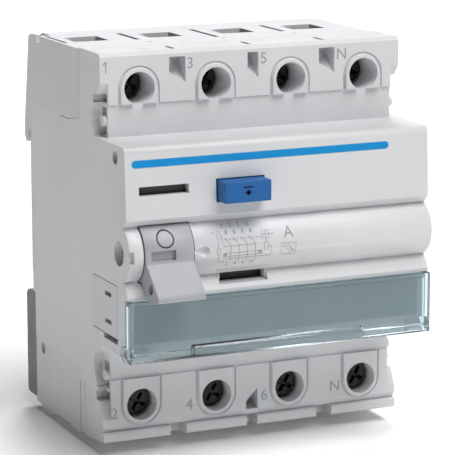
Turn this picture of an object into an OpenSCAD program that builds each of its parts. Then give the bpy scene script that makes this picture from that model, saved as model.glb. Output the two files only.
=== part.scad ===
// Four-pole residual current device for a 35 mm mounting rail.
// Origin: centre of the rail seat. -Y is the front, +X the right, +Z up. Millimetres.

/* [Body] */
// Width of one pole
pole_pitch = 17.75; // [17.5:0.05:18]
// Depth of the terminal shoulders in front of the rail seat
shoulder_d = 44; // [43.5:0.1:44.5]
// Depth of the cap's front face, at its upper edge
cap_d = 57.6; // [57.2:0.1:58]
// Height of the cap, centred on the rail
cap_h = 45; // [44.6:0.1:45]
// Height of the top face above the rail's centre
top_z = 40.5; // [40.3:0.1:41]
// Depth of the bottom lip below the rail's centre
bottom_z = 44.3; // [44.2:0.1:44.6]
// Thickness of the outer walls
wall = 1.6; // [1.5:0.1:1.8]

/* [Terminals] */
// Height of the upper screws above the rail's centre
upper_screw_z = 32.8; // [32.7:0.1:33]
// Depth of the lower screws below the rail's centre
lower_screw_z = 36.4; // [36.3:0.1:36.5]
// Radius of a screwdriver tunnel
tunnel_r = 3.5; // [3.4:0.1:3.6]
// Radius of a terminal screw's thread
screw_r = 2.5; // [2.4:0.1:2.5]

/* [Toggle] */
// Width of the toggle
toggle_w = 11; // [10:0.5:11]
// Radius of the toggle's barrel
toggle_r = 6.6; // [6.5:0.1:6.7]
// Radius of the housing's nose
nose_r = 6.3; // [6.2:0.1:6.4]

/* [Test button] */
// Width of the button
button_w = 10.7; // [10:0.1:11]
// Height of the button
button_h = 4.5; // [4.4:0.1:4.8]
// How far the button stands in front of the cap
button_proud = 4.2; // [4:0.1:4.5]

/* [Label cover] */
// Height of the cover's upper edge below the rail's centre
cover_top = 9.8; // [9.8:0.1:10.2]
// Thickness of the cover's walls
cover_t = 1.1; // [1:0.1:1.2]

/* [Hidden] */
$fn = 64;

POLES = 4;
UP = 1;
DOWN = -1;
body_w = POLES * pole_pitch;
half_w = body_w / 2;
inner_w = body_w - 2 * wall;
cap_z = cap_h / 2;
cap_back = shoulder_d - 0.4;

// Cap face: it leans forward by face_lean on its way down to face_z
face_lean = 0.7;
face_z = 7.2;
groove_z = 5.4;
groove_d = 56.4;
fascia_d = 58.7;
label_d = 57;
cap_edge_r = 1.4;

// Line between the front and the rear housing
seam_top_d = 31.5;
seam_low_d = 33.6;
base_t = 1.6;
shell_top = 24;
shell_low = -30.2;
hollow_back = 38;

// Lip along the bottom of the front housing, and the foot of the rear one
lip_d = 44.3;
lip_h = 2.2;
lip_r = 0.5;
base_z = bottom_z + 1;

// Toggle axis
axis_d = 53.9;
axis_z = -0.3;
toggle_x = -1.5 * pole_pitch;
shaft_r = 2;
run = 0.05;

// Terminal chambers and what moves in them
chamber_x = 5.6;
chamber_front = 33.6;
chamber_back = 10.2;
chamber_h = 6;
clamp_x = 5.2;
clamp_h = 5.2;
clamp_front = 27.5;
clamp_back = 10.5;
bar_front = 22;
bar_back = 20.5;
bar_w = 7;
tunnel_end = 35;
head_upper = 37.4;
head_lower = 41.4;
head_r = 2.9;
pad_r = 4.15;
pad_foot_r = 4.6;
pad_d = shoulder_d + 0.45;
pad_foot_d = shoulder_d - 0.4;
bay_depth = 1.9;
wire_left = 3.9;
wire_right = 2.6;
step_up = 29.5;
step_low = -30.5;

// Rail: a 35 mm rail's flange is held by the hook above and the latches below
rail_half = 17.5;
hook_tip_z = 15;
seat_half = 14.9;
relief = 0.3;
latch_w = 15;
latch_d = 4.4;

// Test button
button_x = -9.4;
button_z = 12.2;
button_face = cap_d + 0.3 + button_proud;

// Label cover hinge
hinge_d = 56.4;
hinge_z = -21.6;
knuckle_r = 1.75;
cover_front = 59.8;

// Contacts
carrier_z = 5;
guide_r = 1.5;
blade_d = 29.5;

// Summation transformer
core_d = 21;
core_z = -17;
core_h = 13;
conductor_w = 2.4;
conductor_pitch = 3.5;
conductor_bottom = -26.4;

// Mechanism plate
plate_d = 46.5;
plate_t = 1.5;
relay_x = 24;

function pole_x(i) = (i - (POLES - 1) / 2) * pole_pitch;
function screw_z(side) = side == UP ? upper_screw_z : -lower_screw_z;
function head_front(side) = side == UP ? head_upper : head_lower;
function boundary_x(i) = (i - POLES / 2) * pole_pitch;

// A solid w wide along X from an outline drawn in (Y, Z)
module across(w, x = 0) {
    translate([x, 0, 0])
        rotate([90, 0, 90])
            linear_extrude(height = w, center = true)
                children();
}

// A round bar along X, centred at x
module bar_x(r, w, x, y, z) {
    translate([x, y, z])
        rotate([0, 90, 0])
            cylinder(r = r, h = w, center = true);
}

// A round bar along Y from the depth front to the depth back
module bar_y(r, x, z, front, back) {
    translate([x, -front, z])
        rotate([-90, 0, 0])
            cylinder(r = r, h = front - back);
}

// A box between two corners
module box(a, b) {
    translate(a)
        cube(b - a);
}

// A helical spring along +Z from its lower end
module coil(r, wire, turns, h) {
    sides = 6;
    steps = turns * 16;
    rise = h - 2 * wire;
    points = [for (i = [0 : steps], j = [0 : sides - 1])
        let (a = 360 * turns * i / steps, b = 360 * j / sides, q = r + wire * cos(b))
            [q * cos(a), q * sin(a), wire + rise * i / steps + wire * sin(b)]];
    walls = [for (i = [0 : steps - 1], j = [0 : sides - 1])
        let (a = i * sides + j, b = i * sides + (j + 1) % sides)
            [a, b, b + sides, a + sides]];
    first = [for (j = [0 : sides - 1]) sides - 1 - j];
    last = [for (j = [0 : sides - 1]) steps * sides + j];
    polyhedron(points = points, faces = concat(walls, [first, last]), convexity = 4);
}

// ---------- outlines in (Y, Z) ----------

module front_outline() {
    union() {
        polygon([
            [-base_t, shell_top], [-24.7, shell_top], [-seam_top_d, 25.2], [-seam_top_d, top_z],
            [-shoulder_d + 0.8, top_z], [-shoulder_d, top_z - 0.8], [-shoulder_d, step_up],
            [-cap_back, step_up - 0.2], [-cap_back, cap_z], [-cap_d + cap_edge_r, cap_z],
            [-cap_d, cap_z - cap_edge_r], [-cap_d - face_lean, face_z], [-groove_d, groove_z],
            [-groove_d, -5.6], [-fascia_d + 0.8, -7.3], [-fascia_d, -8.9],
            [-fascia_d, 0.2 - cover_top], [-label_d, 0.2 - cover_top], [-label_d, -cap_z],
            [-cap_back, -cap_z], [-cap_back, step_low + 0.2], [-shoulder_d, step_low],
            [-shoulder_d, -40.6], [-shoulder_d + 0.9, lip_h - bottom_z], [-shoulder_d + 0.9, -bottom_z],
            [-seam_low_d, -base_z], [-seam_low_d, -33], [-26.5, shell_low], [-base_t, shell_low]]);
        translate([-cap_d + cap_edge_r, cap_z - cap_edge_r])
            circle(r = cap_edge_r);
        translate([-axis_d, axis_z])
            circle(r = nose_r);
        lip_outline();
    }
}

module lip_outline() {
    translate([-lip_d, -bottom_z + lip_r])
        square([1.5, lip_h - 2 * lip_r]);
    translate([-lip_d + lip_r, -bottom_z])
        square([1.5 - lip_r, lip_h]);
    for (z = [lip_r, lip_h - lip_r])
        translate([-lip_d + lip_r, z - bottom_z])
            circle(r = lip_r);
}

module front_hollow() {
    union() {
        polygon([
            [0, shell_top - wall], [-hollow_back, shell_top - wall], [-hollow_back, cap_z - wall],
            [-cap_d + wall, cap_z - wall], [-cap_d + 1.1, face_z + 1], [-groove_d + wall, 4],
            [-groove_d + wall, -5], [-label_d + wall, -8], [-label_d + wall, -cap_z + wall],
            [-hollow_back, -cap_z + wall], [-hollow_back, shell_low + wall], [0, shell_low + wall]]);
        translate([-axis_d, axis_z])
            circle(r = nose_r - wall);
    }
}

// The rail seat ends at seat_half: above and below it the face steps back by relief
module rear_outline() {
    polygon([
        [-seam_top_d, top_z - 0.3], [-1.6, top_z - 0.3], [0.4, top_z - 0.9], [3.8, 19], [3.8, 16.2],
        [3, hook_tip_z], [2, hook_tip_z], [1.4, 16], [1.4, rail_half + 0.4],
        [-relief, rail_half + 0.4], [-relief, seat_half], [0, seat_half], [0, -seat_half],
        [-relief, -seat_half], [-relief, -base_z - 0.3], [-24, -base_z + 0.1],
        [-24, -base_z - 0.4], [-29.9, -base_z - 0.4], [-29.9, -base_z + 0.3], [-seam_low_d, -base_z + 0.3],
        [-seam_low_d, -33], [-26.5, shell_low], [-base_t, shell_low], [-base_t, shell_top],
        [-24.7, shell_top], [-seam_top_d, 25.2]]);
}

// Side bay: one round corner at near, and a slope that runs out of the shoulder at far
module bay_outline(side, near, far) {
    r = 3.2;
    back = 38.6;
    union() {
        translate([-back - r, near + side * r])
            circle(r = r);
        polygon([[-60, near], [-back - r, near], [-back - r, near + side * r], [-back, near + side * r],
                 [-back - 0.4, near + side * (r + 2.2)], [-shoulder_d - 0.4, far], [-60, far]]);
    }
}

// ---------- cuts shared by the two housings ----------

// Chamber, bar slot and wire entry of one terminal, with the shallow tray before the entry
module terminal_cut(i, side) {
    x = pole_x(i);
    z = screw_z(side);
    face = side == UP ? top_z : -base_z;
    outside = face + 3 * side;
    box([x - chamber_x, -chamber_front, z - chamber_h], [x + chamber_x, -chamber_back, z + chamber_h]);
    box([x - bar_w / 2 - 0.1, -bar_front - 0.1, min(z, side * 20)],
        [x + bar_w / 2 + 0.1, -bar_back + 0.1, max(z, side * 20)]);
    box([x - wire_left, -bar_back + 0.2, min(z, outside)], [x + wire_right, -12.3, max(z, outside)]);
    box([x - 5.4, -20, min(face - side, outside)], [x + wire_right, -12.6, max(face - side, outside)]);
}

// Screwdriver tunnel of one terminal, with the narrow seat that holds the screw's head
module tunnel_cut(i, side) {
    bar_y(tunnel_r, pole_x(i), screw_z(side), shoulder_d + 2, tunnel_end);
    bar_y(screw_r + 0.2, pole_x(i), screw_z(side), tunnel_end + 1, chamber_front - 1);
}

// An arch round one tunnel mouth, down or up to the shoulder's step: its radius goes
// from foot_r at the depth foot to top_r at the depth top, and it ends past the step's edge
module arch(i, side, foot, foot_r, top, top_r, past = 0) {
    z = screw_z(side);
    x = pole_x(i);
    step = (side == UP ? step_up : step_low) - side * past;
    intersection() {
        union() {
            translate([x, -foot, z])
                rotate([90, 0, 0])
                    cylinder(r1 = foot_r, r2 = top_r, h = top - foot);
            translate([x, 0, min(z, step)])
                linear_extrude(height = abs(z - step))
                    polygon([[-foot_r, -foot], [-top_r, -top], [top_r, -top], [foot_r, -foot]]);
        }
        box([x - 7, -top - 1, min(step, z + 7 * side)], [x + 7, -foot + 1, max(step, z + 7 * side)]);
    }
}

// Wedge-shaped pocket in a shoulder, between two poles, taller on its right
module wedge_pocket(x, w, side, z, left_h, right_h) {
    translate([x, 0, z])
        mirror([0, 0, side == UP ? 0 : 1])
            intersection() {
                translate([0, -shoulder_d + 6, 0])
                    rotate([90, 0, 0])
                        linear_extrude(height = 8)
                            polygon([[-w / 2, 0], [w / 2, 0], [w / 2, -right_h], [-w / 2, -left_h]]);
                across(w + 1)
                    polygon([[-shoulder_d - 1, 1], [-shoulder_d + 5, 1], [-shoulder_d + 5, -1.4],
                             [-shoulder_d - 1, -1 - right_h]]);
            }
}

// Bay in a side wall beside the shoulder, with a slot and a square socket behind its peg
module side_bay(s, side, near, far, peg_z) {
    across(2 * bay_depth, s * half_w)
        bay_outline(side, near, far);
    box([s * half_w - 5, -43.2, peg_z + side * 4.8 - 1], [s * half_w + 5, -39.8, peg_z + side * 4.8 + 1]);
    box([s * half_w - 3.2, -42.9, peg_z - 2.9], [s * half_w + 3.2, -40.2, peg_z + 2.9]);
}

// Round locating peg left standing in a side bay
module bay_peg(s, z) {
    bar_x(1.15, 3, s * (half_w - 2.6), -42.2, z);
}

// ---------- housings ----------

module rear_housing() color("#c9cacf") {
    difference() {
        union() {
            across(body_w) rear_outline();
            for (s = [-1, 1]) {
                pull_lug(s);
                bar_y(guide_r, s * pole_pitch, carrier_z, 37.5, 1);
            }
        }
        for (side = [UP, DOWN], i = [0 : POLES - 1])
            terminal_cut(i, side);
        for (i = [1 : POLES - 1])
            barrier_slot(boundary_x(i), i == POLES / 2 ? 25.2 : 22);
        top_corner_cuts();
        for (s = [-1, 1]) {
            latch_cut(s);
            bar_x(1.35, 4, s * half_w, -6.4, -31.9);
            box([s * half_w - 3, -30.3, -base_z - 1], [s * half_w + 3, -29.9, -33.4]);
            seam_line(s);
        }
    }
}

// Fine step along the seam in a side face, above and below the cap
module seam_line(s) {
    w = 0.15;
    across(0.5, s * half_w) {
        polygon([[-seam_top_d, top_z + 1], [-seam_top_d + w, top_z + 1], [-seam_top_d + w, 25.2 + w],
                 [-24.7, shell_top + w], [-20, shell_top + w], [-20, shell_top], [-24.7, shell_top],
                 [-seam_top_d, 25.2]]);
        polygon([[-seam_low_d, -33], [-seam_low_d + w, -33], [-seam_low_d + w, -base_z - 1],
                 [-seam_low_d, -base_z - 1]]);
    }
}

// Slot in the top and bottom faces that takes a phase barrier, and a dimple in front of it
module barrier_slot(x, front) {
    box([x - 0.6, -front, top_z - 9], [x + 0.6, -9.4, top_z + 1]);
    box([x - 0.6, -front, -base_z - 1], [x + 0.6, -9.4, -base_z + 9]);
    translate([x + 0.8, -26.5, top_z - 0.8])
        cylinder(r = 0.6, h = 2);
}

// Groove along the left edge of the top face, and the notch and low corner behind it
module top_corner_cuts() {
    box([0.7 - half_w, -21, top_z - 1.3], [1.6 - half_w, -7.5, top_z + 1]);
    box([-half_w - 1, -6.7, top_z - 2], [2.7 - half_w, -5, top_z + 1]);
    box([0.9 - half_w, -6.7, top_z - 2], [2.7 - half_w, 4, top_z + 1]);
}

// Rounded lug under the base, a bearing for the screwdriver that pulls the latch
module pull_lug(s) {
    across(4, s * (half_w - 2.2))
        union() {
            polygon([[-14.9, -base_z + 1], [-3.6, -base_z + 1], [-4, -base_z], [-7.2, -base_z + 0.9],
                     [-8.4, -base_z - 2.1], [-14.9, -base_z]]);
            translate([-7.2, -base_z + 0.9])
                circle(r = 3.2);
        }
}

// Guide for one latch: the plate's bed in the rear face and the spring's pocket
module latch_cut(s) {
    x = s * (half_w - latch_w / 2);
    box([x - latch_w / 2 - 0.2, -1.8, -base_z - 3], [x + latch_w / 2 + 0.2, 1, -19.6]);
    box([x - 3.2, -7.4, -42], [x + 3.2, -1.7, -30.8]);
}

module front_housing() color("#d8d9db") {
    difference() {
        union() {
            difference() {
                across(body_w) front_outline();
                across(inner_w) front_hollow();
                for (side = [UP, DOWN], i = [0 : POLES - 1])
                    arch(i, side, pad_foot_d, pad_foot_r + 0.2, shoulder_d + 1, pad_foot_r + 0.2, 0.2);
                for (s = [-1, 1]) {
                    side_bay(s, UP, cap_z, 34.7, 26);
                    side_bay(s, DOWN, -23.8, -40, -29.5);
                    bar_x(knuckle_r + 0.3, 2.6, s * half_w, -hinge_d, hinge_z);
                }
                window_ledge_room();
            }
            for (side = [UP, DOWN], i = [0 : POLES - 1])
                arch(i, side, pad_foot_d - 0.2, pad_foot_r, pad_d, pad_r);
            toggle_bearings();
            window_ledge();
            flag_guides();
            for (s = [-1, 1]) {
                hinge_ear(s);
                bay_peg(s, 26);
                bay_peg(s, -29.5);
            }
        }
        for (side = [UP, DOWN], i = [0 : POLES - 1]) {
            terminal_cut(i, side);
            tunnel_cut(i, side);
        }
        toggle_room();
        nose_details();
        cap_cuts();
        shoulder_cuts();
        for (s = [-1, 1])
            side_cuts(s);
    }
}

// Bosses that carry the toggle's shaft, on both sides of the toggle
module toggle_bearings() {
    intersection() {
        union() {
            bar_x(4.6, 3, toggle_x - toggle_w / 2 - 0.3 - 1.5, -axis_d, axis_z);
            bar_x(4.6, 2, toggle_x + toggle_w / 2 + 0.3 + 1, -axis_d, axis_z);
            box([toggle_x + toggle_w / 2 + 0.3, -axis_d - 4, axis_z - 4.6],
                [toggle_x + toggle_w / 2 + 2.3, -axis_d, axis_z + 4.6]);
        }
        across(body_w) front_outline();
    }
}

// Opening in the nose for the toggle and its shaft
module toggle_room() {
    bar_x(toggle_r + 0.3, toggle_w + 0.6, toggle_x, -axis_d, axis_z);
    bar_x(shaft_r + run, 16.4, toggle_x, -axis_d, axis_z);
    for (s = [-1, 1])
        bar_x(2.7, 3.4, s * half_w, -axis_d, axis_z);
}

// Notch and teardrop recess beside the toggle
module nose_details() {
    right = toggle_x + toggle_w / 2;
    box([-half_w - 1, -61, -1.5], [1 - half_w, -59, 1.1]);
    translate([right + 2.5, -axis_d - nose_r - 0.2, -0.1])
        sphere(r = 1.2);
    translate([right + 0.2, -axis_d - nose_r - 0.2, -0.1])
        rotate([0, 90, 0])
            cylinder(r1 = 0.4, r2 = 1.2, h = 2.3);
}

// Ledge over the contact window, and the room cut in the nose for it
module window_ledge_room() {
    box([-14.9, -58.6, -5.2], [-3.2, -56.6, -3.9]);
}

module window_ledge() {
    box([-14.8, -58.4, -5], [-3.3, -55.8, -4.1]);
}

// Guides for the fault flag, inside the cap
module flag_guides() {
    for (x = [-33.1, -20.6])
        box([x - 0.5, -56.9, 8.8], [x + 0.5, -53.4, 19]);
}

// Cuts through the cap's face: two windows and the button's opening
module cap_cuts() {
    box([-32.5, -cap_d - 2, 12.2], [-21.2, -55, 14.2]);
    box([-14.4, -cap_d - 2, -8], [-3.1, -56.9, -5.5]);
    box([-13.8, -cap_d - 2, -7.8], [-3.4, -52, -5.8]);
    box([button_x - button_w / 2 - 0.25, -cap_d - 2, button_z - button_h / 2 - 0.25],
        [button_x + button_w / 2 + 0.25, -50, button_z + button_h / 2 + 0.25]);
}

// Pockets, slots and notches in the two shoulders
module shoulder_cuts() {
    widths = [3.8, 2.6, 3.8];
    for (i = [1 : POLES - 1]) {
        x = boundary_x(i);
        w = widths[i - 1];
        wedge_pocket(x, w, UP, 39, 3.3, 5.6);
        box([x - 0.5, -42, top_z - 1.6], [x + 0.5, -37.3, top_z + 1]);
        box([x - w / 2 - 0.2, -50, -base_z - 1], [x + w / 2 - 0.2, -40, lip_h - bottom_z + 0.2]);
    }
    wedge_pocket(-0.2, 2.8, DOWN, -40.6, 1.9, 4.6);
}

// Cuts in one side wall
module side_cuts(s) {
    box([s * half_w - 2, -53.1, -19.3], [s * half_w + 2, -38.8, -7.5]);
    box([s * half_w - 2, -52.8, -20.3], [s * half_w + 2, -45, -19.2]);
    bar_x(1.45, 4, s * half_w, -52.2, 19.8);
    bar_x(1 + run, 9, s * half_w, -hinge_d, hinge_z);
}

// Ear with the bearing for one end of the label cover
module hinge_ear(s) {
    bar_x(1.5, 3.4, s * (half_w - 3.1), -hinge_d, hinge_z);
    box([s * (half_w - 3.1) - 1.7, -hinge_d, hinge_z - 1.5],
        [s * (half_w - 3.1) + 1.7, -52, hinge_z + 1.8]);
}

// Break-out panel in a side wall, with two slots and a fine outline
module knockout(s) color("#b9bac1") {
    x0 = s > 0 ? half_w - wall : -half_w;
    difference() {
        box([x0, -53.1, -19.3], [x0 + wall, -38.8, -7.5]);
        for (z = [-10.3, -16.3])
            box([x0 - 1, -49.3, z - 0.45], [x0 + wall + 1, -45.6, z + 0.45]);
        box([s * half_w - 0.4, -54, -20], [s * half_w + 0.4, -52.9, -7]);
        for (z = [-19.3, -7.5])
            box([s * half_w - 0.5, -54, z - 0.2], [s * half_w + 0.5, -38, z + 0.2]);
    }
}

// ---------- toggle ----------

module toggle() color("#b4b5b9") {
    difference() {
        union() {
            bar_x(toggle_r, toggle_w, toggle_x, -axis_d, axis_z);
            across(toggle_w - 0.4, toggle_x)
                polygon([[-56.5, 3], [-60.1, 0.4], [-60.6, -1.8], [-66.6, -7.2], [-66.9, -7.8],
                         [-66.9, -8.7], [-62, -9.5], [-57.4, -5.8], [-54, -4]]);
            drive_arm();
        }
        bar_x(shaft_r, toggle_w + 1, toggle_x, -axis_d, axis_z);
        bar_x(1.2, toggle_w + 2, toggle_x, -62.6, -6.5);
        box([toggle_x - 4.2, -62.5, -1.3], [toggle_x + 1.4, -59.5, 0.9]);
    }
}

// Arm behind the barrel whose round end pushes the contact carrier
module drive_arm() {
    a = 59.5;
    translate([toggle_x, -axis_d, axis_z])
        rotate([a, 0, 0]) {
            translate([-1.4, 4, -1.2])
                cube([2.8, 6, 2.4]);
            translate([0, 10, 0])
                rotate([0, 90, 0])
                    cylinder(r = 1.2, h = 2.8, center = true);
        }
}

module toggle_shaft() color("#8f9196")
    difference() {
        bar_x(shaft_r, 15, toggle_x + 0.1, -axis_d, axis_z);
        bar_x(1.4, 8, toggle_x - 8, -axis_d, axis_z);
    }

// ---------- test circuit ----------

module test_button() color("#0b62a4") {
    w = button_w / 2;
    h = button_h / 2;
    union() {
        box([button_x - w, -button_face, button_z - h], [button_x + w, -54.9, button_z + h]);
        box([button_x - w - 1, -56.1, button_z - h - 1], [button_x + w + 1, -54.9, button_z + h + 1]);
        bar_y(1.5, button_x, button_z, 55, 49.3);
    }
}

module test_button_spring() color("#b8bcc2")
    translate([button_x, -54.85, button_z])
        rotate([-90, 0, 0])
            coil(2.3, 0.3, 5, 54.85 - plate_d - 0.05);

module test_blade() color("#c99a4a")
    box([button_x - 1.2, -plate_d, -6], [button_x + 1.2, -plate_d + 0.4, button_z + 3]);

module test_resistor() color("#8a5a3c")
    union() {
        bar_x(1.5, 7, 5, -plate_d - 2, -14);
        bar_x(0.35, 12, 5, -plate_d - 2, -14);
    }

// ---------- mechanism plate and relay ----------

module mechanism_plate() color("#9a9ca1") {
    difference() {
        union() {
            box([-18.4, -plate_d, -19.6], [half_w - wall, -plate_d + plate_t, 20.4]);
            for (x = [-1, 11])
                box([x - 0.6, -plate_d - 2.8, -15.2], [x + 0.6, -plate_d, -12.8]);
        }
        box([button_x - 1.2, -plate_d - 1, -6], [button_x + 1.2, -plate_d + 0.4, button_z + 3]);
        box([-10.3, -plate_d - 1, -14], [-7.7, -plate_d + 3, -7.6]);
        bar_x(0.35, 20, 5, -plate_d - 2, -14);
    }
}

module relay_body() color("#3b3d42")
    difference() {
        box([relay_x - 7, -plate_d - 7.6, -14], [relay_x + 7, -plate_d, 3]);
        translate([relay_x, -plate_d - 3.9, -8])
            cylinder(r = 1.6, h = 20);
    }

module relay_plunger() color("#b5b8bd")
    union() {
        translate([relay_x, -plate_d - 3.9, -5.5])
            cylinder(r = 1.55, h = 12);
        translate([relay_x, -plate_d - 3.9, 5])
            cylinder(r = 3, h = 1);
    }

// ---------- flags ----------

module fault_flag() color("#d8d8d4")
    box([-32.4, -55.95, 8.6], [-21.3, -55.1, 15]);

// Plate behind the contact window, on a stem that reaches back through the mechanism plate
module contact_flag() color("#c23a30")
    union() {
        box([-15.2, -54.6, -13.6], [-2.5, -53.9, -5]);
        box([-10, -54, -13.6], [-8, -44.2, -12]);
    }

// ---------- label ----------

module label_cover() color("#b9d6da", 0.45) {
    union() {
        box([-half_w, -cover_front, hinge_z - 0.2], [half_w, -cover_front + cover_t, -cover_top]);
        box([-half_w, -cover_front, -cover_top - cover_t], [half_w, -57.9, -cover_top]);
        box([-half_w, -cover_front, -22.9], [half_w, -cover_front + cover_t, hinge_z]);
        bar_x(0.9, body_w, 0, -58.9, -22);
        bar_x(1.35, 40, -1, -59, -21.5);
        for (s = [-1, 1])
            cover_end(s);
    }
}

// End wall of the cover with its eight-sided hinge knuckle and pin
module cover_end(s) {
    x = s * (half_w - 0.55);
    box([x - 0.55, -cover_front, hinge_z], [x + 0.55, -57.9, -cover_top]);
    translate([x, -hinge_d, hinge_z])
        rotate([0, 90, 0])
            cylinder(r = knuckle_r, h = 1.1, center = true, $fn = 8);
    box([x - 0.55, -cover_front + 0.1, hinge_z - 0.6], [x + 0.55, -hinge_d, hinge_z + 1.6]);
    bar_x(1, 3.6, s * (half_w - 2.6), -hinge_d, hinge_z);
}

module label_strip() color("#98a7a8")
    box([-half_w + 2, -label_d - 0.3, -19.4], [half_w - 2, -label_d, -11.2]);

// ---------- rail latches ----------

module latch(s) color("#55565a") {
    x = s * (half_w - latch_w / 2);
    inner = x - s * 3.4;
    difference() {
        union() {
            across(latch_w, x)
                polygon([[-1.6, -20], [3.4, -20], [latch_d, -21], [latch_d, -43.8],
                         [latch_d - 0.8, -44.6], [-1.6, -44.6]]);
            across(8, inner)
                polygon([[1.5, -20], [1.5, -15.8], [2.2, -15.2], [3.4, -16.4], [3.4, -20]]);
            box([x - 2.8, -6.4, -33.2], [x + 2.8, -1.5, -31.4]);
        }
        box([x - 2.6, -2, -43.2], [x + 2.6, 10, -40.8]);
    }
}

module latch_spring(s) color("#b8bcc2")
    translate([s * (half_w - latch_w / 2), -4.6, -41.95])
        coil(1.9, 0.3, 5, 8.7);

// ---------- contacts and conductors ----------

module contact_carrier() color("#e3dfd2") {
    difference() {
        union() {
            box([-32, -34, carrier_z - 3], [32, -30.4, carrier_z + 3]);
            for (i = [0 : POLES - 1])
                box([pole_x(i) - 4, -32, -3], [pole_x(i) + 4, -30.4, 21]);
            box([toggle_x - 1.4, -45.2, -2], [toggle_x + 1.4, -33.5, 9.6]);
        }
        for (s = [-1, 1])
            bar_y(guide_r + run, s * pole_pitch, carrier_z, 40, 20);
        for (i = [0 : POLES - 1])
            bar_y(1.7, pole_x(i), 17, 31.6, 29);
    }
}

module contact_springs() color("#b8bcc2")
    for (i = [0 : POLES - 1])
        translate([pole_x(i), -31.55, 17])
            rotate([-90, 0, 0])
                coil(1.2, 0.25, 3, 2);

// Blade with its contact tip
module moving_contact(i) color("#b87445")
    union() {
        box([pole_x(i) - 3, -blade_d, -3], [pole_x(i) + 3, -blade_d + 1.2, 20]);
        bar_y(1.8, pole_x(i), 17, blade_d - 1, blade_d - 1.7);
        box([pole_x(i) - 1.2, -30.4, -3], [pole_x(i) + 1.2, -blade_d, 3]);
    }

module line_bar(i) color("#b87445")
    union() {
        box([pole_x(i) - bar_w / 2, -bar_front, 12], [pole_x(i) + bar_w / 2, -bar_back, 37.5]);
        bar_y(1.8, pole_x(i), 17, bar_front + 0.75, bar_front - 0.1);
    }

module load_bar(i) color("#b87445")
    union() {
        box([pole_x(i) - bar_w / 2, -bar_front, -41.5], [pole_x(i) + bar_w / 2, -bar_back, -26.4]);
        box([pole_x(i) - 3, -28, -27.6], [pole_x(i) + 3, -14, -26.4]);
    }

// One conductor from its pole, through the transformer, and back to its pole
module primary_conductor(i) {
    y = -core_d + (i - (POLES - 1) / 2) * conductor_pitch;
    h = conductor_w / 2;
    x = pole_x(i);
    box([x - 1.5, y - h, -7], [x + 1.5, y + h, -4]);
    box([min(x, 0) - 1.5, y - h, -9], [max(x, 0) + 1.5, y + h, -7]);
    box([-1.5, y - h, -25], [1.5, y + h, -7]);
    box([min(x, 0) - 1.5, y - h, conductor_bottom], [max(x, 0) + 1.5, y + h, -24.4]);
}

module primary_conductors() color("#b87445")
    for (i = [0 : POLES - 1])
        primary_conductor(i);

// Ring round the conductors, between two radii
module ring(outer, inner, h) {
    translate([0, -core_d, core_z])
        difference() {
            cylinder(r = outer, h = h, center = true);
            cylinder(r = inner, h = h + 1, center = true);
        }
}

module transformer_case() color("#26282c")
    difference() {
        ring(16, 7.6, core_h);
        ring(14.8, 8.8, core_h - 2.4);
    }

module transformer_winding() color("#a8622e")
    difference() {
        ring(14.8, 8.8, core_h - 2.4);
        ring(13.6, 10, core_h - 5);
    }

module transformer_core() color("#6d6f74")
    ring(13.6, 10, core_h - 5);

// ---------- terminals ----------

module terminal_screw(i, side) color("#4a4c48") {
    x = pole_x(i);
    z = screw_z(side);
    difference() {
        union() {
            bar_y(head_r, x, z, head_front(side), tunnel_end + 0.05);
            bar_y(screw_r, x, z, tunnel_end + 0.1, bar_front + 0.6);
        }
        for (a = [0, 90])
            translate([x, -head_front(side), z])
                rotate([0, a + 30, 0])
                    cube([4.2, 2.4, 0.8], center = true);
    }
}

// Lift clamp: the screw draws it forward, and its back wall presses the wire on the bar
module lift_clamp(i, side) color("#c3c5c9") {
    x = pole_x(i);
    z = screw_z(side);
    difference() {
        box([x - clamp_x, -clamp_front, z - clamp_h], [x + clamp_x, -clamp_back, z + clamp_h]);
        box([x - 3.9, -clamp_front + 2.5, z - 8], [x + 3.9, -clamp_back - 1.7, z + 8]);
        bar_y(screw_r + run, x, z, clamp_front + 1, clamp_front - 3);
    }
}

rear_housing();
front_housing();
knockout(-1);  // left_knockout
knockout(1);  // right_knockout
toggle();
toggle_shaft();
test_button();
test_button_spring();
test_blade();
test_resistor();
mechanism_plate();
label_cover();
label_strip();
latch(-1);  // left_latch
latch(1);  // right_latch
latch_spring(-1);  // left_latch_spring
latch_spring(1);  // right_latch_spring
contact_carrier();
contact_springs();
moving_contact(0);  // moving_contact_1
moving_contact(1);  // moving_contact_2
moving_contact(2);  // moving_contact_3
moving_contact(3);  // moving_contact_4
line_bar(0);  // line_bar_1
line_bar(1);  // line_bar_2
line_bar(2);  // line_bar_3
line_bar(3);  // line_bar_4
load_bar(0);  // load_bar_1
load_bar(1);  // load_bar_2
load_bar(2);  // load_bar_3
load_bar(3);  // load_bar_4
transformer_case();
transformer_core();
transformer_winding();
primary_conductors();
relay_body();
relay_plunger();
fault_flag();
contact_flag();
terminal_screw(0, UP);  // upper_screw_1
terminal_screw(1, UP);  // upper_screw_2
terminal_screw(2, UP);  // upper_screw_3
terminal_screw(3, UP);  // upper_screw_4
terminal_screw(0, DOWN);  // lower_screw_1
terminal_screw(1, DOWN);  // lower_screw_2
terminal_screw(2, DOWN);  // lower_screw_3
terminal_screw(3, DOWN);  // lower_screw_4
lift_clamp(0, UP);  // upper_clamp_1
lift_clamp(1, UP);  // upper_clamp_2
lift_clamp(2, UP);  // upper_clamp_3
lift_clamp(3, UP);  // upper_clamp_4
lift_clamp(0, DOWN);  // lower_clamp_1
lift_clamp(1, DOWN);  // lower_clamp_2
lift_clamp(2, DOWN);  // lower_clamp_3
lift_clamp(3, DOWN);  // lower_clamp_4
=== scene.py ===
"""Looks of a four-pole residual current device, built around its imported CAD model. Metres."""

import math

import bmesh
import bpy
from mathutils import Matrix, Vector


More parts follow.
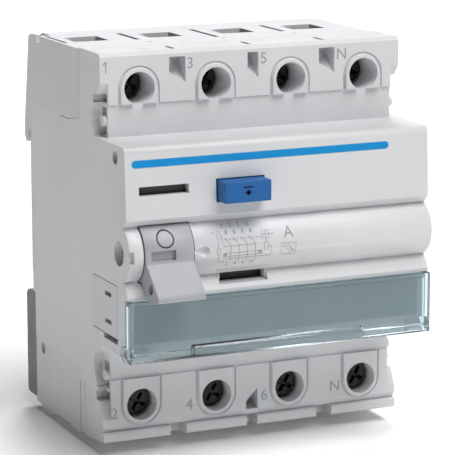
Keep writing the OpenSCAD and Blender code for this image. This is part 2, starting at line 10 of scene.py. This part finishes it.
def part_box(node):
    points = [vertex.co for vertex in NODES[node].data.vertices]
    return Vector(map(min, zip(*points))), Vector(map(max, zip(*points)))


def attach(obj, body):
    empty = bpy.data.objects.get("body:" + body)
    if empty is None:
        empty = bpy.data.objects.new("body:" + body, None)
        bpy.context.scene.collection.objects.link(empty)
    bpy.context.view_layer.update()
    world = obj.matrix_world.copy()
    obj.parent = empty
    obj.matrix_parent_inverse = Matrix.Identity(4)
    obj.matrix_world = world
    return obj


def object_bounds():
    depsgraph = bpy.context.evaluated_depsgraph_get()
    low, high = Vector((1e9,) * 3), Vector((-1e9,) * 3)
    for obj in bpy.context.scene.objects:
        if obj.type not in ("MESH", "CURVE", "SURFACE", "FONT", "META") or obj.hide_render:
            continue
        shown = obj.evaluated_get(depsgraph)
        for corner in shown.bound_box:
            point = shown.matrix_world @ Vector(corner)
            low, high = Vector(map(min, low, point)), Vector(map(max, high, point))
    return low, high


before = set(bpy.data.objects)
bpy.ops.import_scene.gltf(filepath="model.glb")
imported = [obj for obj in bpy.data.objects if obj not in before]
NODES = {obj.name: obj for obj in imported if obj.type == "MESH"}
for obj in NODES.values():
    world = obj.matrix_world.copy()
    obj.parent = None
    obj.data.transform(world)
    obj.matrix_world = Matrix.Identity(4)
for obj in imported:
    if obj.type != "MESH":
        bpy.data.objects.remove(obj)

CAD_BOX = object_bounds()
MM = 0.001

# Plastic's eroded grain, and the rounding of every node's edges
GRAIN_SIZE = 0.00035
GRAIN_HEIGHT = 0.000006
EDGE_WIDTH = 0.00022

# Print: how far the middle of the ink stands off a surface, and the height of one slice of a shape
INK_LIFT = 0.02 * MM
SLICE = 0.3 * MM
RING_STEPS = 48

# Print sizes in millimetres
NUMERAL_HEIGHT = 2.4
DIAGRAM_TEXT_HEIGHT = 0.85
DIAGRAM_LINE = 0.12
POLE_STEP = 1.9
FIRST_POLE_X = -12.6

# The camera, where the photograph was taken from
CAMERA_PLACE = Vector((-0.2124, -0.4999, 0.1042))
CAMERA_YAW = math.radians(23.11)
CAMERA_PITCH = math.radians(10.44)
CAMERA_ROLL = math.radians(-0.28)
CAMERA_LENS = 185.8
CAMERA_SENSOR = 36
CAMERA_SHIFT = 0.11


# ---------- materials ----------

class Shader:
    """A Principled material with helpers that add procedural detail in object space."""

    def __init__(self, name, **values):
        self.material = bpy.data.materials.new(name)
        self.material.use_nodes = True
        self.tree = self.material.node_tree
        self.principled = self.tree.nodes["Principled BSDF"]
        for socket, value in values.items():
            self.principled.inputs[socket.replace("_", " ")].default_value = value
        self.place = self.tree.nodes.new("ShaderNodeTexCoord").outputs["Object"]

    def link(self, output, target):
        self.tree.links.new(output, target)

    def noise(self, size, detail=3.0, stretch=(1, 1, 1)):
        """Noise whose grains are about size metres across, from 0 to 1."""
        mapping = self.tree.nodes.new("ShaderNodeMapping")
        mapping.inputs["Scale"].default_value = stretch
        self.link(self.place, mapping.inputs["Vector"])
        noise = self.tree.nodes.new("ShaderNodeTexNoise")
        noise.inputs["Scale"].default_value = 1 / size
        noise.inputs["Detail"].default_value = detail
        self.link(mapping.outputs["Vector"], noise.inputs["Vector"])
        return noise.outputs["Fac"]

    def between(self, factor, low, high, start=0.3, end=0.7):
        """Maps factor's range start to end onto low to high."""
        range_node = self.tree.nodes.new("ShaderNodeMapRange")
        for socket, value in (("From Min", start), ("From Max", end), ("To Min", low), ("To Max", high)):
            range_node.inputs[socket].default_value = value
        self.link(factor, range_node.inputs["Value"])
        return range_node.outputs["Result"]

    def colours(self, factor, stops):
        """Paints the base colour from (position, colour) stops along factor."""
        ramp = self.tree.nodes.new("ShaderNodeValToRGB")
        elements = ramp.color_ramp.elements
        while len(elements) < len(stops):
            elements.new(0.5)
        for element, (position, colour) in zip(elements, stops):
            element.position = position
            element.color = (*colour, 1)
        self.link(factor, ramp.inputs["Fac"])
        self.link(ramp.outputs["Color"], self.principled.inputs["Base Color"])

    def roughness(self, factor, low, high):
        self.link(self.between(factor, low, high), self.principled.inputs["Roughness"])

    def bump(self, *layers):
        """Chains bumps, each a (factor, height in metres) pair."""
        normal = None
        for factor, height in layers:
            bump = self.tree.nodes.new("ShaderNodeBump")
            bump.inputs["Distance"].default_value = height
            self.link(factor, bump.inputs["Height"])
            if normal is not None:
                self.link(normal, bump.inputs["Normal"])
            normal = bump.outputs["Normal"]
        self.link(normal, self.principled.inputs["Normal"])


def srgb(*levels):
    """Linear colour from sRGB levels of 0 to 255."""
    return tuple(((v / 255 + 0.055) / 1.055) ** 2.4 if v > 10 else v / 255 / 12.92 for v in levels)


def shade(colour, factor):
    """The colour made darker or lighter by a factor."""
    return tuple(c * factor for c in colour)


def plastic(name, colour, rough=0.42):
    """Moulded plastic: spark-eroded grain, faint flow marks and a slightly uneven sheen."""
    shader = Shader(name, Specular_IOR_Level=0.45, IOR=1.53)
    flow = shader.noise(0.012, 4, (1, 1, 0.35))
    fine = shader.noise(GRAIN_SIZE, 2)
    shader.colours(flow, [(0.3, shade(colour, 0.965)), (0.7, shade(colour, 1.02))])
    shader.roughness(shader.noise(0.003, 3), rough - 0.05, rough + 0.07)
    shader.bump((fine, GRAIN_HEIGHT), (flow, GRAIN_HEIGHT * 6))
    return shader.material


def steel(name, colour, rough):
    """Plated or bare metal: a fine uneven surface with larger darker, tarnished patches."""
    shader = Shader(name, Metallic=1.0)
    fine = shader.noise(0.0006, 3)
    patches = shader.noise(0.0025, 4)
    shader.colours(patches, [(0.3, shade(colour, 0.6)), (0.6, colour), (0.8, shade(colour, 1.08))])
    shader.roughness(fine, rough - 0.08, rough + 0.15)
    shader.bump((fine, 0.000008))
    return shader.material


def two_tone(name, split, above, below):
    """A printed flag: one colour above the height split, another below it."""
    shader = Shader(name, Specular_IOR_Level=0.4)
    parts = shader.tree.nodes.new("ShaderNodeSeparateXYZ")
    shader.link(shader.place, parts.inputs["Vector"])
    edge = 0.00008
    height = shader.between(parts.outputs["Z"], 0, 1, split - edge, split + edge)
    shader.colours(height, [(0.35, below), (0.65, above)])
    fine = shader.noise(0.0004, 2)
    shader.roughness(fine, 0.4, 0.55)
    shader.bump((fine, 0.000006))
    return shader.material


def clear_cover(name):
    """Clear tinted polycarbonate with faint moulding waves."""
    shader = Shader(name, Transmission_Weight=1.0, IOR=1.5, Specular_IOR_Level=0.5)
    waves = shader.noise(0.009, 2)
    tint = srgb(226, 242, 246)
    shader.colours(waves, [(0.3, shade(tint, 0.97)), (0.7, tint)])
    shader.roughness(shader.noise(0.002, 3), 0.03, 0.09)
    shader.bump((waves, 0.00003))
    return shader.material


def ink(name, colour):
    """Pad-printed ink, a little uneven."""
    shader = Shader(name, Specular_IOR_Level=0.3)
    spots = shader.noise(0.0004, 3)
    shader.colours(spots, [(0.3, shade(colour, 0.93)), (0.7, shade(colour, 1.05))])
    shader.roughness(spots, 0.45, 0.6)
    shader.bump((spots, 0.000004))
    return shader.material


MATERIALS = {
    "housing_front": plastic("front_plastic", srgb(214, 215, 217)),
    "housing_grey": plastic("rear_plastic", srgb(212, 213, 216), 0.46),
    "toggle_grey": plastic("toggle_plastic", srgb(170, 171, 175), 0.42),
    "button_blue": plastic("button_plastic", srgb(0, 92, 160), 0.5),
    "cover_clear": clear_cover("cover_plastic"),
    "label": plastic("label_card", srgb(178, 185, 185), 0.5),
    "latch_grey": plastic("latch_plastic", srgb(96, 97, 102), 0.45),
    # Screw plating: a dark steel colour that also paints the shade deep in the terminal tunnels onto the
    # screw heads.
    "screw_steel": steel("screw_plating_with_painted_tunnel_shade", srgb(56, 60, 56), 0.36),
    "zinc_steel": steel("zinc_plating", srgb(190, 192, 194), 0.3),
    "copper": steel("copper", srgb(205, 128, 84), 0.28),
    "spring_steel": steel("spring_steel", srgb(168, 170, 174), 0.25),
    "inner_plastic": plastic("inner_plastic", srgb(120, 122, 127), 0.5),
    "carrier_plastic": plastic("carrier_plastic", srgb(222, 216, 200), 0.5),
    "black_plastic": plastic("black_plastic", srgb(38, 39, 42), 0.45),
    "core_alloy": steel("core_alloy", srgb(120, 122, 126), 0.4),
    "flag_red": two_tone("contact_flag_print", -0.0085, srgb(60, 61, 63), srgb(190, 44, 34)),
    "flag_white": two_tone("fault_flag_print", 0.0116, srgb(60, 61, 63), srgb(226, 226, 220)),
    "resistor": plastic("resistor_lacquer", srgb(150, 104, 66), 0.35),
}
PRINT_GREY = ink("grey_print", srgb(160, 162, 166))
PRINT_BLUE = ink("blue_print", srgb(0, 140, 206))
PRINT_DARK = ink("dark_print", srgb(66, 68, 72))
PRINT_NAVY = ink("navy_print", srgb(10, 34, 92))


# ---------- CAD nodes ----------

def finish_node(node):
    """Gives a CAD node its slot's material and slightly rounded edges."""
    slot = node.data.materials[0].name
    node.data.materials[0] = MATERIALS[slot]
    weld = node.modifiers.new("weld", "WELD")
    weld.merge_threshold = 1e-6
    merge = node.modifiers.new("merge", "DECIMATE")
    merge.decimate_type = "DISSOLVE"
    merge.angle_limit = math.radians(0.4)
    bevel = node.modifiers.new("edges", "BEVEL")
    bevel.width = EDGE_WIDTH
    bevel.segments = 2
    bevel.limit_method = "ANGLE"
    bevel.angle_limit = math.radians(32)
    bevel.harden_normals = True
    bevel.use_clamp_overlap = True


for cad_node in NODES.values():
    finish_node(cad_node)


# ---------- print ----------

def text_shape(words, height, x, z):
    """Letters of that height, centred at (x, z)."""
    curve = bpy.data.curves.new("words", "FONT")
    curve.body = words
    curve.resolution_u = 6
    holder = bpy.data.objects.new("words", curve)
    mesh = bpy.data.meshes.new_from_object(holder)
    low = Vector([min(v.co[k] for v in mesh.vertices) for k in (0, 1)])
    high = Vector([max(v.co[k] for v in mesh.vertices) for k in (0, 1)])
    scale = height / (high.y - low.y)
    middle = (low + high) / 2
    points = [((v.co.x - middle.x) * scale + x, (v.co.y - middle.y) * scale + z) for v in mesh.vertices]
    faces = [tuple(p.vertices) for p in mesh.polygons]
    bpy.data.objects.remove(holder)
    bpy.data.meshes.remove(mesh)
    bpy.data.curves.remove(curve)
    return points, faces


def one_shape(height, x, z):
    """A figure 1 with a flag and no foot, its stem on x."""
    line = height * 0.11
    half = height / 2
    flag = [(x - height * 0.27, z + half * 0.5), (x - height * 0.08, z + half * 0.78), (x, z + half)]
    return [stroke([(x, z - half), (x, z + half)], line), stroke(flag, line)]


def stroke(path, width, closed=False):
    """A ribbon of that width along a path of (x, z) points."""
    count = len(path)
    points, faces = [], []
    for i, here in enumerate(path):
        before = path[(i - 1) % count] if closed or i else here
        after = path[(i + 1) % count] if closed or i < count - 1 else here
        along = (Vector(after) - Vector(before)).normalized()
        side = Vector((-along.y, along.x)) * width / 2
        points += [tuple(Vector(here) + side), tuple(Vector(here) - side)]
    for i in range(count if closed else count - 1):
        a, b = 2 * i, 2 * ((i + 1) % count)
        faces.append((a, a + 1, b + 1, b))
    return points, faces


def ring_shape(x, z, radius, width, squeeze):
    """A ring of that line width, squeeze times as tall as it is wide."""
    turns = [2 * math.pi * k / RING_STEPS for k in range(RING_STEPS)]
    path = [(x + radius * math.cos(t), z + radius * squeeze * math.sin(t)) for t in turns]
    return stroke(path, width, True)


def bar_shape(x0, x1, z0, z1, columns=24):
    """A bar wider than tall with round ends, in columns so that it can follow a curved face."""
    radius = (z1 - z0) / 2
    middle = (z0 + z1) / 2
    xs = [x0 + radius * (1 - math.cos(math.pi / 2 * k / 6)) for k in range(7)]
    xs += [x0 + radius + (x1 - x0 - 2 * radius) * k / columns for k in range(1, columns)]
    xs += [x1 - radius * (1 - math.cos(math.pi / 2 * k / 6)) for k in range(6, -1, -1)]
    points = []
    for x in xs:
        gap = max(0.0, x0 + radius - x, x - x1 + radius)
        half = max(math.sqrt(max(radius * radius - gap * gap, 0)), radius * 0.02)
        points += [(x, middle + half), (x, middle - half)]
    return points, [(2 * i, 2 * i + 1, 2 * i + 3, 2 * i + 2) for i in range(len(xs) - 1)]


def sliced(points, faces):
    """The same shape cut into slices along z, so that it can follow a curved face."""
    shape = bmesh.new()
    corners = [shape.verts.new((x, z, 0)) for x, z in points]
    for face in faces:
        shape.faces.new([corners[k] for k in face])
    heights = [z for _, z in points]
    for k in range(math.ceil(min(heights) / SLICE), math.floor(max(heights) / SLICE) + 1):
        bmesh.ops.bisect_plane(shape, geom=shape.verts[:] + shape.edges[:] + shape.faces[:],
                               plane_co=(0, k * SLICE, 0), plane_no=(0, 1, 0))
    shape.verts.index_update()
    cut_points = [(v.co.x, v.co.y) for v in shape.verts]
    cut_faces = [tuple(v.index for v in f.verts) for f in shape.faces]
    shape.free()
    return cut_points, cut_faces


def printed(name, node, body, material, shapes):
    """Ink laid on a node's front: flat shapes in (x, z), pressed along +Y onto its surface."""
    target = NODES[node]
    ahead = CAD_BOX[0].y - 0.01
    mesh = bpy.data.meshes.new(name)
    vertices, faces = [], []
    for points, polygons in (sliced(*shape) for shape in shapes):
        first = len(vertices)
        for x, z in points:
            hit, place, _, _ = target.ray_cast(Vector((x, ahead, z)), Vector((0, 1, 0)))
            if not hit:
                raise ValueError(f"{name} misses {node} at {x}, {z}")
            vertices.append(place - Vector((0, INK_LIFT, 0)))
        faces += [tuple(first + k for k in polygon) for polygon in polygons]
    mesh.from_pydata(vertices, [], faces)
    mesh.materials.append(material)
    piece = bpy.data.objects.new(name, mesh)
    bpy.context.scene.collection.objects.link(piece)
    solid = piece.modifiers.new("thickness", "SOLIDIFY")
    solid.thickness = 2 * INK_LIFT
    solid.offset = 0
    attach(piece, body)


def mm(*values):
    """Metres from millimetres."""
    return tuple(v * MM for v in values)


def numerals():
    """The terminals' numbers, one beside each tunnel."""
    marks = (("3", -14.8, 37.5), ("5", 2.5, 37.6), ("N", 21.4, 37.5),
             ("2", -32.9, -37.9), ("4", -15.3, -37.8), ("6", 2.8, -37.7), ("N", 20.3, -37.6))
    shapes = [text_shape(words, *mm(NUMERAL_HEIGHT, x, z)) for words, x, z in marks]
    shapes += one_shape(*mm(NUMERAL_HEIGHT, -34.1, 37.5))
    printed("terminal_numbers", "front_housing", "housing", PRINT_GREY, shapes)


def pole_symbol(x, line):
    """A break contact in one conductor, drawn from top to bottom."""
    return [stroke([mm(x - 0.7, 3.9), mm(x - 0.7, 3.0)], line),
            stroke([mm(x - 1.0, 3.5), mm(x - 0.4, 2.9)], line),
            stroke([mm(x - 1.0, 2.9), mm(x - 0.4, 3.5)], line),
            stroke([mm(x - 1.3, 2.2), mm(x, 0.9), mm(x, -3.0)], line)]


def relay_symbol(line):
    """The trip relay: a crossed box on a smaller one, wired to the ring core."""
    return [stroke([mm(-5.2, 1.5), mm(-3.6, 1.5), mm(-3.6, 3.1), mm(-5.2, 3.1)], line, True),
            stroke([mm(-5.2, 2.3), mm(-2.4, 2.3)], line),
            stroke([mm(-4.4, 3.1), mm(-4.4, 0.6)], line),
            stroke([mm(-4.8, -0.9), mm(-3.9, -0.9), mm(-3.9, 0.6), mm(-4.8, 0.6)], line, True),
            stroke([mm(-3.9, -0.3), mm(-3.1, -0.3), mm(-3.1, -2.2), mm(-13.6, -2.2)], line)]


def ring_core_symbol(line):
    """The ring core in section: two dark ends joined by two lines."""
    ends = [stroke([mm(x - 0.45, -1.3), mm(x + 0.45, -1.3)], 0.8 * MM) for x in (-13.9, -5.8)]
    return ends + [stroke([mm(-13.4, z), mm(-6.3, z)], line) for z in (-1.0, -1.65)]


def test_symbol(line):
    """The test circuit: a push contact, its resistor and their wires."""
    return [stroke([mm(-16.8, 3.4), mm(-15.9, 3.4)], line),
            stroke([mm(-15.6, 3.6), mm(-14.9, 3.6), mm(-14.6, 2.6), mm(-14.2, 0.5), mm(-6.6, 0.5)], line),
            stroke([mm(-15.4, 3.3), mm(-15.4, 0.3)], line),
            stroke([mm(-15.7, -1.2), mm(-15.1, -1.2), mm(-15.1, 0.3), mm(-15.7, 0.3)], line, True),
            stroke([mm(-15.4, -1.2), mm(-15.4, -2.8), mm(-13.9, -2.8)], line)]


def wave_symbol(line):
    """A boxed wave over a pulse, with a stroke across."""
    steps = [k / 16 for k in range(17)]
    return [stroke([mm(-0.8, -2.4), mm(2.6, -2.4), mm(2.6, 0.1), mm(-0.8, 0.1)], line, True),
            stroke([mm(-0.4 + 1.6 * t, -0.9 + 0.5 * math.sin(2 * math.pi * t)) for t in steps], line),
            stroke([mm(0.6, -0.1), mm(2.4, -1.9)], line),
            stroke([mm(0.9, -1.9), mm(1.4, -1.9), mm(1.7, -1.3), mm(2.0, -1.9)], line)]


def nose_print():
    """Generic wiring diagram of the four poles, the ring core, the relay and the test circuit."""
    line = DIAGRAM_LINE * MM
    places = [FIRST_POLE_X + POLE_STEP * k for k in range(4)]
    shapes = [part for x in places for part in pole_symbol(x, line)]
    for words, shift, z in (("135N", -1.2, 4.5), ("246N", -0.7, -3.3)):
        for word, x in zip(words, places):
            shapes.append(text_shape(word, *mm(DIAGRAM_TEXT_HEIGHT, x + shift, z)))
    shapes += [stroke([mm(-13.9 + 0.9 * k, 1.9), mm(-13.4 + 0.9 * k, 1.9)], line) for k in range(10)]
    shapes += relay_symbol(line) + ring_core_symbol(line) + test_symbol(line) + wave_symbol(line)
    shapes.append(text_shape("A", *mm(2.3, 1.0, 2.4)))
    printed("nose_marks", "front_housing", "housing", PRINT_GREY, shapes)


def button_print():
    """The test mark: a bar over an upright stem, which bar_shape turns into a small diamond."""
    low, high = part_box("test_button")
    x, z = (low.x + high.x) / 2, (low.z + high.z) / 2
    bars = [bar_shape(x - 0.0012, x + 0.0012, z + 0.00080, z + 0.00120, 4),
            bar_shape(x - 0.0002, x + 0.0002, z - 0.0012, z + 0.0009, 2)]
    printed("test_mark", "test_button", "test_button", PRINT_NAVY, bars)


numerals()
nose_print()
button_print()
printed("stripe", "front_housing", "housing", PRINT_BLUE,
        [bar_shape(*mm(-34, 25.9, 18.2, 19.8))])
printed("toggle_mark", "toggle", "toggle", PRINT_DARK,
        [ring_shape(*mm(-27.3, 3.15, 1.85), 0.32 * MM, 0.9)])


# ---------- stage ----------

def place_camera():
    """The photograph's camera."""
    forward = Vector((math.sin(CAMERA_YAW) * math.cos(CAMERA_PITCH),
                      math.cos(CAMERA_YAW) * math.cos(CAMERA_PITCH),
                      -math.sin(CAMERA_PITCH)))
    level = Vector((math.cos(CAMERA_YAW), -math.sin(CAMERA_YAW), 0))
    upright = level.cross(forward)
    right = level * math.cos(CAMERA_ROLL) + upright * math.sin(CAMERA_ROLL)
    up = upright * math.cos(CAMERA_ROLL) - level * math.sin(CAMERA_ROLL)
    data = bpy.data.cameras.new("camera")
    data.lens = CAMERA_LENS
    data.sensor_width = CAMERA_SENSOR
    data.shift_x = CAMERA_SHIFT
    data.shift_y = -CAMERA_SHIFT
    camera = bpy.data.objects.new("camera", data)
    turn = Matrix((right, up, -forward)).transposed().to_4x4()
    camera.matrix_world = Matrix.Translation(CAMERA_PLACE) @ turn
    bpy.context.scene.collection.objects.link(camera)
    bpy.context.scene.camera = camera


def softbox(name, place, aim, size, watts):
    """A square area light at place, turned to aim."""
    data = bpy.data.lights.new(name, "AREA")
    data.shape = "SQUARE"
    data.size = size
    data.energy = watts
    light = bpy.data.objects.new(name, data)
    light.location = place
    light.rotation_euler = (Vector(aim) - Vector(place)).to_track_quat("-Z", "Y").to_euler()
    bpy.context.scene.collection.objects.link(light)


def pale_floor():
    """A wide pale floor under the part's lowest point."""
    mesh = bpy.data.meshes.new("floor")
    half, z = 6.0, CAD_BOX[0].z
    mesh.from_pydata([(-half, -half, z), (half, -half, z), (half, half, z), (-half, half, z)], [],
                     [(0, 1, 2, 3)])
    mesh.materials.append(Shader("floor_paint", Base_Color=(0.95, 0.95, 0.95, 1), Roughness=0.9,
                                 Emission_Color=(1, 1, 1, 1), Emission_Strength=0.06).material)
    floor = bpy.data.objects.new("floor", mesh)
    bpy.context.scene.collection.objects.link(floor)


def studio_world(strength):
    """Even white light from all round."""
    world = bpy.data.worlds.new("studio")
    world.use_nodes = True
    tree = world.node_tree
    background = tree.nodes["Background"]
    background.inputs["Color"].default_value = (1, 1, 1, 1)
    background.inputs["Strength"].default_value = strength
    bpy.context.scene.world = world


place_camera()
pale_floor()
studio_world(strength=0.05)
softbox("key", place=(0.6, -1.35, 2.6), aim=(0, 0, 0), size=2.0, watts=92)
softbox("back", place=(0.9, 1.9, 1.9), aim=(-0.1, 0.6, -0.05), size=1.0, watts=44)
bpy.context.scene.view_settings.view_transform = "Standard"
